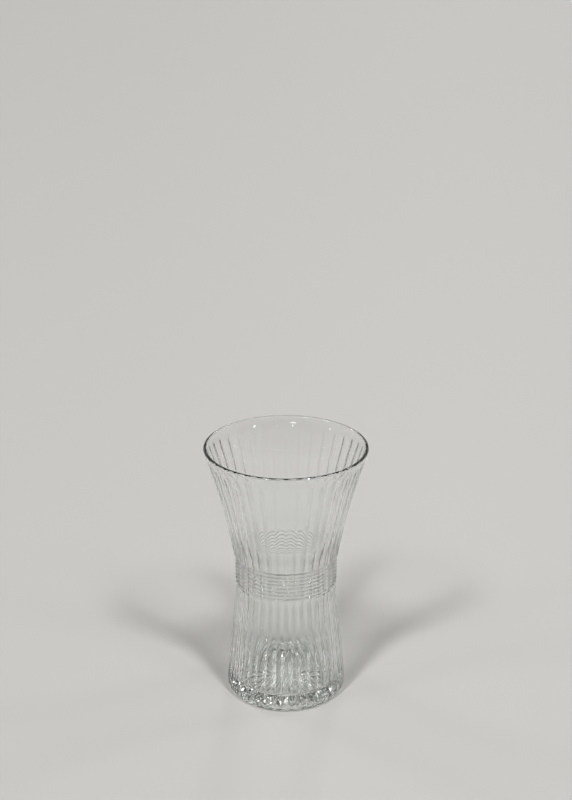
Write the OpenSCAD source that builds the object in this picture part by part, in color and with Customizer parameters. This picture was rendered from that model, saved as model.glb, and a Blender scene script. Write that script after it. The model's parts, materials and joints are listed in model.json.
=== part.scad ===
// Waisted glass bouquet vase: fluted walls that flare from a ringed waist, on a thick star-cut base.
// The real vase is one piece of pressed glass. Each node here is one region of it.
// Neighbouring regions meet face to face.

/* [Overall] */
// Height from the table to the top of the lip
vase_h = 172; // [155:1:195]
// Outer radius of the mouth, at the lip
mouth_r = 52.5; // [49:0.5:56]
// Outer radius of the flared wall where it meets the rings
flare_r = 33.8; // [33:0.1:36]
// Outer radius of the lower wall where it meets the rings
waist_r = 31.8; // [31:0.1:33.5]
// Outer radius at the foot of the wall, where it is widest
base_r = 39; // [37.5:0.1:42]

/* [Walls] */
// Wall thickness of the flared part, measured from the ridges
upper_wall_t = 3.2; // [2.8:0.1:4]
// Wall thickness of the lower part, measured from the ridges
lower_wall_t = 3.6; // [3.2:0.1:4.5]
// Thickness of the lip
lip_t = 2.4; // [2:0.1:2.8]
// Height of the plain lip above the flutes
lip_h = 4; // [3:0.5:6]
// Lean of the flared wall at the waist, from upright
flare_start = 9.5; // [6:0.5:11]
// Lean of the lower wall at the waist, from upright
bell_start = 6; // [2:0.5:9]

/* [Flutes] */
// Number of flutes round the wall
flute_count = 36; // [24:2:40]
// Depth of a flute below its ridges
flute_depth = 0.8; // [0.4:0.1:0.8]
// Length over which a flute fades out under the lip
flute_fade = 4; // [2:0.5:12]

/* [Waist] */
// Height of the lowest ring's underside
band_z = 77.5; // [70:0.5:82]
// Number of rings
ring_count = 8; // [5:1:10]
// Distance from one ring to the next
ring_pitch = 2.5; // [2:0.1:3]
// Outer radius of the rings
ring_r = 33.1; // [32.9:0.1:33.8]
// How far a ring stands out of the waist
ring_proud = 0.9; // [0.5:0.1:1]
// Radius of the round throat inside the waist
throat_r = 28.8; // [27.5:0.1:29]

/* [Base] */
// Height of the inside floor above the table
floor_z = 10; // [7.5:0.5:12]
// Radius of the rounded edge under the wall
corner_r = 4; // [3:0.5:6]
// How far the star-cut underside is recessed above the table
recess_h = 1.2; // [0.8:0.1:1.6]
// Width of the ring that the vase stands on
foot_w = 5; // [4:0.5:6]
// Number of rays in the star
star_rays = 24; // [12:2:24]
// Depth of a ray at its outer end
star_depth = 2; // [1:0.1:2.5]

/* [Hidden] */

clear_glass = [0.80, 0.87, 0.85, 0.55];
bright_glass = [0.88, 0.94, 0.93, 0.60];
round_fn = 120;                  // sides that stand for a true circle
small_fn = 48;                   // the same for the sections of the lip and the rings
overshoot = 1;                   // how far a cutting shape runs past what it cuts
disc_gap = 0.02;                 // gap between the base disc and the wall round it
flare_blend = 18;                // height over which the flared wall runs into the throat
lip_blend = 26;                  // distance below the top where the wall starts to thin to the lip
bell_blend = 14;                 // height over which the lower wall runs into the throat
flute_points = 4;                // points along one flute
upper_levels = 13;               // heights at which the flared wall is sampled
lower_levels = 11;               // heights at which the lower wall is sampled above its corner
corner_levels = 5;               // heights sampled through the rounded edge
foot_levels = 4;                 // steps up the outer edge of the standing ring
lip_points = 7;                  // points along each side of the lip
star_r_in = 7;                   // radius of the plain centre of the star
star_w = 6.6;                    // width of a ray at its outer end

band_h = ring_count * ring_pitch;
band_top = band_z + band_h;
lip_z = vase_h - lip_h;
valley_r = ring_r - ring_proud;  // radius of the waist between rings
corner_top = corner_r;           // height at which the rounded edge joins the wall
foot_r = base_r - corner_r;      // outer radius of the standing ring
bore_r = base_r - lower_wall_t;  // radius of the base disc inside the wall

// Radius at height z on an arc from (r0, z0), leaning `lean` degrees there, to (r1, z1)
function arc_r(z, r0, z0, r1, z1, lean) =
    let (
        slope = atan2(r1 - r0, z1 - z0),
        chord = norm([r1 - r0, z1 - z0]),
        rho = chord / (2 * sin(slope - lean))
    )
    r0 + rho * (cos(lean) - cos(asin(sin(lean) + (z - z0) / rho)));

// Ridge radius of the flared wall, of the lower wall, and of the rounded edge under it
function upper_r(z) = arc_r(z, flare_r, band_top, mouth_r, vase_h, flare_start);
function bell_r(z) = arc_r(z, waist_r, band_z, base_r, corner_top, -bell_start);
function corner_at(z) = base_r - corner_r + sqrt(max(0, pow(corner_r, 2) - pow(corner_r - z, 2)));
function outer_r(z) = z >= band_top ? upper_r(z) : z >= corner_top ? bell_r(z) : corner_at(z);

// 0 at `from`, 1 at `to`, with level ends
function ease(x, from, to) =
    let (t = min(1, max(0, (x - from) / (to - from)))) t * t * (3 - 2 * t);

// Wall thickness at height z: the lip is thin, and both walls run smoothly into the throat
function wall_at(z) =
    z >= band_top
        ? upper_wall_t + (flare_r - throat_r - upper_wall_t) * (1 - ease(z, band_top, band_top + flare_blend))
            + (lip_t - upper_wall_t) * ease(z, vase_h - lip_blend, lip_z)
        : lower_wall_t + (waist_r - throat_r - lower_wall_t) * ease(z, band_z - bell_blend, band_z);
function inner_r(z) = z <= floor_z ? bore_r : outer_r(z) - wall_at(z);

// Depth of the flutes at height z: they fade out under the lip and round the lower edge
function flute_at(z) = flute_depth * (1 - ease(z, lip_z - flute_fade, lip_z)) * ease(z, 0, corner_top);

// Radius of the fluted outside at height z, a share u of the way from one ridge to the next
function fluted_r(z, u) = outer_r(z) - flute_at(z) * (1 - pow(2 * u - 1, 2));

// n + 1 heights from a to b
function steps(a, b, n) = [for (i = [0 : n]) a + (b - a) * i / n];

// A wall between a fluted outside and a round inside, sampled at the given heights
module fluted_wall(heights) {
    around = flute_count * flute_points;
    last = (len(heights) - 1) * around;
    points = [for (z = heights, k = [0 : around - 1])
        let (r = fluted_r(z, (k % flute_points) / flute_points), a = 360 * k / around)
        [r * cos(a), r * sin(a), z]];
    sides = [for (i = [0 : around : last - 1], k = [0 : around - 1]) let (n = (k + 1) % around)
        [i + k, i + around + k, i + around + n, i + n]];
    bottom = [for (k = [0 : around - 1]) k];
    top = [for (k = [around - 1 : -1 : 0]) last + k];
    low = heights[0];
    high = heights[len(heights) - 1];
    difference() {
        polyhedron(points = points, faces = concat(sides, [bottom, top]), convexity = 8);
        rotate_extrude($fn = round_fn) polygon(concat(
            [[0, low - overshoot], [inner_r(low), low - overshoot]],
            [for (z = heights) [inner_r(z), z]],
            [[inner_r(high), high + overshoot], [0, high + overshoot]]
        ));
    }
}

// The plain, fire-polished lip with a half-round top
module rim_lip() {
    heights = steps(lip_z, vase_h - lip_t / 2, lip_points - 1);
    top = vase_h - lip_t / 2;
    color(bright_glass) rotate_extrude($fn = round_fn) {
        polygon(concat(
            [for (z = heights) [outer_r(z), z]],
            [for (i = [lip_points - 1 : -1 : 0]) [inner_r(heights[i]), heights[i]]]
        ));
        intersection() {
            translate([outer_r(top) - lip_t / 2, top]) circle(d = lip_t, $fn = small_fn);
            translate([0, top]) square([mouth_r, lip_t]);
        }
    }
}

module upper_wall() {
    color(clear_glass) fluted_wall(steps(band_top, lip_z, upper_levels));
}

// The round tube inside the rings: its bore is the throat
module waist_wall() {
    color(clear_glass) translate([0, 0, band_z]) difference() {
        cylinder(r = valley_r, h = band_h, $fn = round_fn);
        translate([0, 0, -overshoot]) cylinder(r = throat_r, h = band_h + 2 * overshoot, $fn = round_fn);
    }
}

// One half-round ring on the waist; ring 1 is the lowest
module waist_ring(number) {
    z = band_z + (number - 0.5) * ring_pitch;
    color(bright_glass) translate([0, 0, z]) rotate_extrude($fn = round_fn) intersection() {
        translate([valley_r + ring_proud - ring_pitch / 2, 0]) circle(d = ring_pitch, $fn = small_fn);
        translate([valley_r, -ring_pitch / 2]) square([ring_pitch, ring_pitch]);
    }
}

module lower_wall() {
    corner = [for (i = [0 : corner_levels]) corner_r * (1 - cos(90 * i / corner_levels))];
    bell = steps(corner_top, band_z, lower_levels);
    color(clear_glass) fluted_wall(concat(
        [recess_h],
        [for (z = corner) if (z > recess_h) z],
        [for (i = [1 : lower_levels]) bell[i]]
    ));
}

// One ray of the star: a V-shaped groove whose tilt makes it deeper and wider outwards
module star_ray() {
    reach = foot_r - foot_w - star_r_in;
    tilt = atan2(star_depth, reach);
    slant = star_w / star_depth;     // how fast the groove widens with its depth
    past = star_depth + overshoot;
    translate([star_r_in, 0, recess_h]) rotate([0, 90 - tilt, 0])
        linear_extrude(height = norm([reach, star_depth]))
            polygon([[past, -slant * past / 2], [0, 0], [past, slant * past / 2]]);
}

// The thick bottom inside the wall, with the star cut into its underside
module base_disc() {
    color(clear_glass) difference() {
        translate([0, 0, recess_h]) cylinder(r = bore_r - disc_gap, h = floor_z - recess_h, $fn = round_fn);
        for (i = [0 : star_rays - 1]) rotate(360 * i / star_rays) star_ray();
    }
}

// The ring that the vase stands on: flat below, with the start of the rounded edge outside
module foot_ring() {
    edge = steps(0, recess_h, foot_levels);
    color(bright_glass) rotate_extrude($fn = round_fn) polygon(concat(
        [[foot_r - foot_w, 0]],
        [for (z = edge) [corner_at(z), z]],
        [[foot_r - foot_w, recess_h]]
    ));
}

rim_lip();
upper_wall();
waist_wall();
for (i = [1 : ring_count]) waist_ring(i);
lower_wall();
base_disc();
foot_ring();
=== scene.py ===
"""Looks of the waisted glass bouquet vase: one seamless body of fluted, pressed glass.

The real vase is a single piece of glass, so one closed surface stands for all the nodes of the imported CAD
frame, which are regions of it. Lengths are in metres, +Z is up, and the origin is the centre of the circle
that the vase stands on. Angles of the lamps and the camera are in degrees.
"""

import json
import math

import bpy
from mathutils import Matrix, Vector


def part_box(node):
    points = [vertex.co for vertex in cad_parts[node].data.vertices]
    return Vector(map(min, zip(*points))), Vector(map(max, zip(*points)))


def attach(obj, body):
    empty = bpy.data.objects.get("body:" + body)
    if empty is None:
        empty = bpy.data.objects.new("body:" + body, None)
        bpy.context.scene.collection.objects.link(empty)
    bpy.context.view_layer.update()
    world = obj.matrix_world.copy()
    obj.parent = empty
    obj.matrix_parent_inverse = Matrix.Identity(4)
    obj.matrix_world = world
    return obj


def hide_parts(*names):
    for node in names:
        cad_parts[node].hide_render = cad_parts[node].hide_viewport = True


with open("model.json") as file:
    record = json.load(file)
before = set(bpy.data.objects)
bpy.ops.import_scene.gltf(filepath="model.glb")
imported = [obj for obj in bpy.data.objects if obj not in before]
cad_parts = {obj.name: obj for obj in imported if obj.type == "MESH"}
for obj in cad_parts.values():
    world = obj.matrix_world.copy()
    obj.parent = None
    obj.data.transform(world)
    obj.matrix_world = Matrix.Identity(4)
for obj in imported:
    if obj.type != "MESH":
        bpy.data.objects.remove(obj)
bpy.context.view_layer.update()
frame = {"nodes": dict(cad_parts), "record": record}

MM = 0.001


# ---------------------------------------------------------------- sizes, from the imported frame

def low(node):
    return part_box(node)[0]


def high(node):
    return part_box(node)[1]


def mount(name):
    return next(m for m in frame["record"]["mounts"] if m["name"] == name)


RING_COUNT = sum(name.startswith("waist_ring_") for name in frame["nodes"])
VASE_H = high("rim_lip").z
LIP_Z = low("rim_lip").z
LIP_R = high("rim_lip").x
BAND_Z = low("waist_wall").z
BAND_TOP = high("waist_wall").z
VALLEY_R = high("waist_wall").x
RING_PROUD = high("waist_ring_1").x - VALLEY_R
THROAT_R = mount("throat")["dims"]["r_mm"] * MM
BASE_R = high("lower_wall").x
FLOOR_Z = high("base_disc").z
RECESS_H = low("base_disc").z

# Sizes that a bounding box does not show, as in the CAD source
FLARE_R = 33.8 * MM             # ridges of the flared wall where it meets the rings
WAIST_R = 31.8 * MM             # ridges of the lower wall where it meets the rings
UPPER_WALL_T = 3.2 * MM
LOWER_WALL_T = 3.6 * MM
LIP_T = 2.4 * MM
FLARE_START = math.radians(9.5)
BELL_START = math.radians(6)
FLARE_BLEND = 18 * MM           # height over which the flared wall runs into the throat
LIP_BLEND = 26 * MM             # distance below the top where the wall starts to thin to the lip
BELL_BLEND = 14 * MM            # height over which the lower wall runs into the throat
FLUTE_COUNT = 36
FLUTE_DEPTH = 0.8 * MM
FLUTE_FADE = 4 * MM             # length over which a flute fades out under the lip
CORNER_R = 4 * MM               # radius of the rounded edge under the wall
FOOT_W = 5 * MM                 # width of the ring that the vase stands on
STAR_RAYS = 24
STAR_DEPTH = 2 * MM
STAR_R_IN = 7 * MM              # radius of the plain centre of the star
STAR_W = 6.6 * MM               # width of a ray at its outer end

# Sizes that only the looks have
FLOOR_FILLET = 3.5 * MM         # rounding between the inside floor and the wall
BAND_FLUTE = 0.8                # how deep the flutes run across the rings, as a share of their depth
STAR_TIP_W = 0.05 * MM          # width of a ray at its inner end
FOOT_EDGE = 0.6 * MM            # width of the strip at the outer edge of the standing face

RING_PITCH = (BAND_TOP - BAND_Z) / RING_COUNT
FOOT_R = BASE_R - CORNER_R
STAR_R_OUT = FOOT_R - FOOT_W
LIP_TOP = VASE_H - LIP_T / 2    # height of the centre of the lip's half-round

# The sloping inner side of the standing ring: distance out from the end of the star, and height
FOOT_SLOPE = ((0.1 * MM, RECESS_H), (0.4 * MM, RECESS_H / 2), (1.0 * MM, 0.1 * MM), (1.6 * MM, 0))

# Mesh fineness: columns round the vase, and steps along each stretch of its profile
PER_FLUTE = 8
RIDGE_CROWDING = 0.7            # how strongly the columns of a flute crowd towards its ridges
AROUND = FLUTE_COUNT * PER_FLUTE
PER_RAY = AROUND // STAR_RAYS
GROOVE_STEPS = 4                # columns on each side of a ray
STAR_STEPS = 16
CORNER_STEPS = 10
BELL_STEPS = 34
RING_STEPS = 10
FLARE_STEPS = 44
LIP_STEPS = 4
LIP_TURN_STEPS = 12
FUNNEL_STEPS = 34
THROAT_STEPS = 6
CHAMBER_STEPS = 24
FILLET_STEPS = 8
FLOOR_SHARES = (0.75, 0.5, 0.25, 0.08)


# ---------------------------------------------------------------- looks

GLASS_IOR = 1.52
GLASS_TINT = (0.985, 0.99, 0.988, 1)
BODY_TINT = (0.90, 0.93, 0.89, 1)
BODY_DENSITY = 7.0
WAVE_SCALE = 90                 # about this many mould waves per metre
WAVE_DEPTH = 0.08 * MM
SCUFF_ROUGHNESS = 0.3
SCUFF_FULL_H = 0.1 * MM         # the scuffs are full below this height
SCUFF_END_H = 0.5 * MM          # and gone above this one

# What a lamp's light keeps at a face of the glass, with the share of the way from head-on to grazing
SHADE_OPEN = (0.95, 0.955, 0.95, 1)
SHADE_OPEN_UP_TO = 0.3
SHADE_GRAZING = (0.30, 0.31, 0.30, 1)
SHADE_GRAZING_FROM = 0.95

FLOOR_COLOUR = (0.60, 0.592, 0.575, 1)
FLOOR_ROUGHNESS = 0.5
FLOOR_SHEEN = 0.2
FLOOR_HALF = 40.0               # far enough for its edge to vanish at the horizon

# The studio's walls; heights are sines of the angle above the horizon
HORIZON_COLOUR = (0.65, 0.64, 0.62, 1)
HORIZON_UP_TO = 0.05
OVERHEAD_COLOUR = (0.04, 0.04, 0.04, 1)
OVERHEAD_FROM = 0.24

RING_LAMPS = 6
RING_LAMP_START = 22            # where the first ring lamp stands, round from +X

CAMERA_BACK = 0.8106
CAMERA_UP = 0.517
CAMERA_TILT = 21.2              # below the level
CAMERA_LENS = 63
CAMERA_SENSOR = 36

EXPOSURE = 0.05
CONTRAST_GAMMA = 0.8
GLASS_BOUNCES = 32
GLOSSY_BOUNCES = 12


# ---------------------------------------------------------------- the vase's profile

def arc_r(z, r0, z0, r1, z1, lean):
    """Radius at height z on the arc from (r0, z0), leaning `lean` there, to (r1, z1)."""
    slope = math.atan2(r1 - r0, z1 - z0)
    chord = math.hypot(r1 - r0, z1 - z0)
    rho = chord / (2 * math.sin(slope - lean))
    return r0 + rho * (math.cos(lean) - math.cos(math.asin(math.sin(lean) + (z - z0) / rho)))


def ease(x, start, end):
    """0 at start, 1 at end, with level ends."""
    t = min(1.0, max(0.0, (x - start) / (end - start)))
    return t * t * (3 - 2 * t)


def outer_r(z):
    """Radius of the ridges at height z, without the rings."""
    if z >= BAND_TOP:
        return arc_r(z, FLARE_R, BAND_TOP, LIP_R, LIP_TOP, FLARE_START)
    if z >= BAND_Z:
        return VALLEY_R
    if z >= CORNER_R:
        return arc_r(z, WAIST_R, BAND_Z, BASE_R, CORNER_R, -BELL_START)
    return FOOT_R + math.sqrt(max(0.0, CORNER_R ** 2 - (CORNER_R - z) ** 2))


def wall_at(z):
    """Wall thickness at height z, above or below the rings."""
    if z >= BAND_TOP:
        swell = FLARE_R - THROAT_R - UPPER_WALL_T
        thick = UPPER_WALL_T + swell * (1 - ease(z, BAND_TOP, BAND_TOP + FLARE_BLEND))
        return thick + (LIP_T - UPPER_WALL_T) * ease(z, VASE_H - LIP_BLEND, LIP_Z)
    swell = WAIST_R - THROAT_R - LOWER_WALL_T
    return LOWER_WALL_T + swell * ease(z, BAND_Z - BELL_BLEND, BAND_Z)


def inner_r(z):
    """Radius of the smooth inside at height z."""
    if BAND_Z <= z <= BAND_TOP:
        return THROAT_R
    return outer_r(z) - wall_at(z)


def flute_at(z):
    """Depth of the flutes at height z: they fade out under the lip and round the lower edge."""
    return FLUTE_DEPTH * (1 - ease(z, LIP_Z - FLUTE_FADE, LIP_Z)) * ease(z, 0, CORNER_R)


def hollow(u):
    """Share of a flute's depth at a share u of the way from one ridge to the next."""
    return 1 - (2 * u - 1) ** 2


def even_steps(a, b, n):
    """n + 1 even steps from a to b."""
    return [a + (b - a) * i / n for i in range(n + 1)]


# ---------------------------------------------------------------- closed lines round the vase
# Each loop is a function that gives the point at column k of AROUND.

def at_angle(r, angle, z):
    return r * math.cos(angle), r * math.sin(angle), z


def plain_loop(r, z):
    """A true circle."""
    return lambda k: at_angle(r, 2 * math.pi * k / AROUND, z)


def flute_place(k):
    """Column k's share of the way from one ridge to the next, and its angle."""
    number, step = divmod(k, PER_FLUTE)
    u = step / PER_FLUTE
    u -= RIDGE_CROWDING * math.sin(2 * math.pi * u) / (2 * math.pi)
    return u, 2 * math.pi * (number + u) / FLUTE_COUNT


def wall_loop(z):
    """A line on the fluted outside."""
    def at(k):
        u, angle = flute_place(k)
        return at_angle(outer_r(z) - flute_at(z) * hollow(u), angle, z)
    return at


def ring_loop(number, turn):
    """A line on ring `number`, at `turn` from its lower edge (0) to its upper edge (1)."""
    swing = math.pi * (turn - 0.5)
    z = BAND_Z + (number - 0.5) * RING_PITCH + RING_PITCH / 2 * math.sin(swing)
    out = RING_PROUD * math.cos(swing)

    def at(k):
        u, angle = flute_place(k)
        return at_angle(VALLEY_R + out - BAND_FLUTE * FLUTE_DEPTH * hollow(u), angle, z)
    return at


def star_loop(r):
    """A line on the underside, crossing V grooves that widen and deepen outwards.

    The columns close in on each groove, so that its edges always run along columns.
    """
    share = (r - STAR_R_IN) / (STAR_R_OUT - STAR_R_IN)
    edge = math.asin(max(STAR_W * share, STAR_TIP_W) / 2 / r)
    ray = 2 * math.pi / STAR_RAYS

    def at(k):
        number, step = divmod(k + PER_RAY // 2, PER_RAY)
        away = step - PER_RAY // 2
        inside = min(abs(away), GROOVE_STEPS) / GROOVE_STEPS
        beyond = max(abs(away) - GROOVE_STEPS, 0) / (PER_RAY // 2 - GROOVE_STEPS)
        turn = math.copysign(edge * inside + (ray / 2 - edge) * beyond, away)
        return at_angle(r, ray * number + turn, RECESS_H + STAR_DEPTH * share * (1 - inside))
    return at


def underside_loops():
    """From the plain centre of the star out to the flat ring that the vase stands on."""
    star = [star_loop(r) for r in even_steps(STAR_R_IN, STAR_R_OUT, STAR_STEPS)]
    slope = [plain_loop(STAR_R_OUT + out, z) for out, z in FOOT_SLOPE]
    return star + slope + [plain_loop(FOOT_R - FOOT_EDGE, 0)]


def outside_loops():
    """Up the outside: rounded edge, lower wall, rings, flared wall and lip."""
    quarter = even_steps(0, math.pi / 2, CORNER_STEPS)
    corner = [wall_loop(CORNER_R * (1 - math.cos(a))) for a in quarter]
    bell = [wall_loop(z) for z in even_steps(CORNER_R, BAND_Z, BELL_STEPS)[1:]]
    turns = even_steps(0, 1, RING_STEPS)[1:-1]
    rings = [ring_loop(number, turn) for number in range(1, RING_COUNT + 1) for turn in turns]
    flare = [wall_loop(z) for z in even_steps(BAND_TOP, LIP_Z, FLARE_STEPS)]
    lip = [wall_loop(z) for z in even_steps(LIP_Z, LIP_TOP, LIP_STEPS)[1:]]
    return corner + bell + rings + flare + lip


def lip_turn_loops():
    """Over the half-round top of the lip, from the outside to the inside."""
    half = LIP_T / 2
    return [plain_loop(LIP_R - half + half * math.cos(a), LIP_TOP + half * math.sin(a))
            for a in even_steps(0, math.pi, LIP_TURN_STEPS)[1:-1]]


def inside_loops():
    """Down the inside: flared wall, throat, lower wall, fillet and floor."""
    funnel = [plain_loop(inner_r(z), z) for z in even_steps(LIP_TOP, BAND_TOP, FUNNEL_STEPS)]
    throat = [plain_loop(THROAT_R, z) for z in even_steps(BAND_TOP, BAND_Z, THROAT_STEPS)[1:-1]]
    fillet_z = FLOOR_Z + FLOOR_FILLET
    fillet_r = inner_r(fillet_z) - FLOOR_FILLET
    chamber = [plain_loop(inner_r(z), z) for z in even_steps(BAND_Z, fillet_z, CHAMBER_STEPS)]
    fillet = [plain_loop(fillet_r + FLOOR_FILLET * math.cos(a), fillet_z - FLOOR_FILLET * math.sin(a))
              for a in even_steps(0, math.pi / 2, FILLET_STEPS)[1:]]
    bottom = [plain_loop(fillet_r * share, FLOOR_Z) for share in FLOOR_SHARES]
    return funnel + throat + chamber + fillet + bottom


def vase_mesh():
    """The closed surface: quads between neighbouring loops, and a fan at each end."""
    rows = underside_loops() + outside_loops() + lip_turn_loops() + inside_loops()
    points = [row(k) for row in rows for k in range(AROUND)]
    faces = []
    for i in range(len(rows) - 1):
        a, b = i * AROUND, (i + 1) * AROUND
        for k in range(AROUND):
            n = (k + 1) % AROUND
            faces.append((a + k, a + n, b + n, b + k))
    under_centre, floor_centre = len(points), len(points) + 1
    points += [(0, 0, RECESS_H), (0, 0, FLOOR_Z)]
    last = (len(rows) - 1) * AROUND
    for k in range(AROUND):
        n = (k + 1) % AROUND
        faces.append((under_centre, n, k))
        faces.append((floor_centre, last + k, last + n))
    mesh = bpy.data.meshes.new("vase_glass")
    mesh.from_pydata(points, [], faces)
    mesh.validate()
    mesh.polygons.foreach_set("use_smooth", [True] * len(mesh.polygons))
    return mesh


# ---------------------------------------------------------------- materials

def mould_waves(nodes, links, place):
    """The faint waviness that a mould leaves, as a normal."""
    wave = nodes.new("ShaderNodeTexNoise")
    wave.inputs["Scale"].default_value = WAVE_SCALE
    wave.inputs["Detail"].default_value = 1
    links.new(place, wave.inputs["Vector"])
    bump = nodes.new("ShaderNodeBump")
    bump.inputs["Strength"].default_value = 1.0
    bump.inputs["Distance"].default_value = WAVE_DEPTH
    links.new(wave.outputs["Fac"], bump.inputs["Height"])
    return bump.outputs["Normal"]


def foot_scuffs(nodes, links, place):
    """Roughness: scuffed where the vase stands, and polished above."""
    height = nodes.new("ShaderNodeSeparateXYZ")
    links.new(place, height.inputs["Vector"])
    foot = nodes.new("ShaderNodeMapRange")
    foot.inputs["From Min"].default_value = SCUFF_FULL_H
    foot.inputs["From Max"].default_value = SCUFF_END_H
    foot.inputs["To Min"].default_value = SCUFF_ROUGHNESS
    foot.inputs["To Max"].default_value = 0.0
    links.new(height.outputs["Z"], foot.inputs["Value"])
    return foot.outputs["Result"]


def lamps_through(nodes, links, shader):
    """Let lamps shine through, least where they graze the glass, so its shadow has a dark outline."""
    grazing = nodes.new("ShaderNodeLayerWeight").outputs["Facing"]
    shade = nodes.new("ShaderNodeValToRGB")
    shade.color_ramp.elements[0].position = SHADE_OPEN_UP_TO
    shade.color_ramp.elements[0].color = SHADE_OPEN
    shade.color_ramp.elements[1].position = SHADE_GRAZING_FROM
    shade.color_ramp.elements[1].color = SHADE_GRAZING
    links.new(grazing, shade.inputs["Fac"])
    through = nodes.new("ShaderNodeBsdfTransparent")
    links.new(shade.outputs["Color"], through.inputs["Color"])
    mix = nodes.new("ShaderNodeMixShader")
    links.new(nodes.new("ShaderNodeLightPath").outputs["Is Shadow Ray"], mix.inputs[0])
    links.new(shader.outputs["BSDF"], mix.inputs[1])
    links.new(through.outputs["BSDF"], mix.inputs[2])
    return mix.outputs["Shader"]


def glass_material():
    """Clear pressed glass with a faint grey-green body."""
    mat = bpy.data.materials.new("pressed_glass")
    mat.use_nodes = True
    nodes, links = mat.node_tree.nodes, mat.node_tree.links
    shader, output = nodes["Principled BSDF"], nodes["Material Output"]
    shader.inputs["Base Color"].default_value = GLASS_TINT
    shader.inputs["IOR"].default_value = GLASS_IOR
    shader.inputs["Transmission Weight"].default_value = 1.0
    place = nodes.new("ShaderNodeTexCoord").outputs["Object"]
    links.new(mould_waves(nodes, links, place), shader.inputs["Normal"])
    links.new(foot_scuffs(nodes, links, place), shader.inputs["Roughness"])
    links.new(lamps_through(nodes, links, shader), output.inputs["Surface"])
    absorb = nodes.new("ShaderNodeVolumeAbsorption")
    absorb.inputs["Color"].default_value = BODY_TINT
    absorb.inputs["Density"].default_value = BODY_DENSITY
    links.new(absorb.outputs["Volume"], output.inputs["Volume"])
    return mat


def floor_material():
    mat = bpy.data.materials.new("pale_floor")
    mat.use_nodes = True
    shader = mat.node_tree.nodes["Principled BSDF"]
    shader.inputs["Base Color"].default_value = FLOOR_COLOUR
    shader.inputs["Roughness"].default_value = FLOOR_ROUGHNESS
    shader.inputs["Specular IOR Level"].default_value = FLOOR_SHEEN
    return mat


# ---------------------------------------------------------------- the vase, and the studio round it

def add_vase():
    vase = bpy.data.objects.new("vase_glass", vase_mesh())
    vase.data.materials.append(glass_material())
    bpy.context.scene.collection.objects.link(vase)
    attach(vase, "root")
    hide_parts(*sorted(frame["nodes"]))


def add_floor():
    mesh = bpy.data.meshes.new("floor")
    corners = [(x * FLOOR_HALF, y * FLOOR_HALF, 0) for x, y in ((-1, -1), (1, -1), (1, 1), (-1, 1))]
    mesh.from_pydata(corners, [], [(0, 1, 2, 3)])
    mesh.materials.append(floor_material())
    floor = bpy.data.objects.new("floor", mesh)
    bpy.context.scene.collection.objects.link(floor)


def add_world():
    """A studio that is pale near the horizon and dark overhead, apart from its lamps."""
    world = bpy.data.worlds.new("studio")
    world.use_nodes = True
    nodes, links = world.node_tree.nodes, world.node_tree.links
    split = nodes.new("ShaderNodeSeparateXYZ")
    links.new(nodes.new("ShaderNodeTexCoord").outputs["Generated"], split.inputs["Vector"])
    ramp = nodes.new("ShaderNodeValToRGB")
    ramp.color_ramp.elements[0].position = HORIZON_UP_TO
    ramp.color_ramp.elements[0].color = HORIZON_COLOUR
    ramp.color_ramp.elements[1].position = OVERHEAD_FROM
    ramp.color_ramp.elements[1].color = OVERHEAD_COLOUR
    links.new(split.outputs["Z"], ramp.inputs["Fac"])
    links.new(ramp.outputs["Color"], nodes["Background"].inputs["Color"])
    bpy.context.scene.world = world


def add_lamp(name, azimuth, elevation, power, width):
    """A distant round softbox, `azimuth` round from +X and `elevation` up."""
    data = bpy.data.lights.new(name, "SUN")
    data.energy = power
    data.angle = math.radians(width)
    lamp = bpy.data.objects.new(name, data)
    lamp.rotation_euler = (0, math.radians(90 - elevation), math.radians(azimuth))
    bpy.context.scene.collection.objects.link(lamp)


def add_lamps():
    """Two main lamps in front, and a ring of weak ones whose glints draw the flutes and rings."""
    add_lamp("front_left_lamp", azimuth=235, elevation=45, power=1.75, width=8)
    add_lamp("front_right_lamp", azimuth=305, elevation=50, power=1.55, width=8)
    for step in range(RING_LAMPS):
        azimuth = RING_LAMP_START + 360 * step / RING_LAMPS
        add_lamp(f"ring_lamp_{step + 1}", azimuth, elevation=36, power=0.23, width=9)


def add_camera():
    data = bpy.data.cameras.new("camera")
    data.sensor_width = CAMERA_SENSOR
    data.lens = CAMERA_LENS
    camera = bpy.data.objects.new("camera", data)
    camera.location = (0, -CAMERA_BACK, CAMERA_UP)
    camera.rotation_euler = (math.radians(90 - CAMERA_TILT), 0, 0)
    bpy.context.scene.collection.objects.link(camera)
    bpy.context.scene.camera = camera


def set_picture():
    """Contrast of the picture, and how far light is followed through the glass."""
    scene = bpy.context.scene
    scene.view_settings.view_transform = "Standard"
    scene.view_settings.exposure = EXPOSURE
    scene.view_settings.gamma = CONTRAST_GAMMA
    scene.cycles.max_bounces = GLASS_BOUNCES
    scene.cycles.transmission_bounces = GLASS_BOUNCES
    scene.cycles.glossy_bounces = GLOSSY_BOUNCES
    # Light from the lamps crosses the glass by lamps_through instead
    scene.cycles.caustics_refractive = False
    scene.cycles.caustics_reflective = False


add_vase()
add_floor()
add_world()
add_lamps()
add_camera()
set_picture()
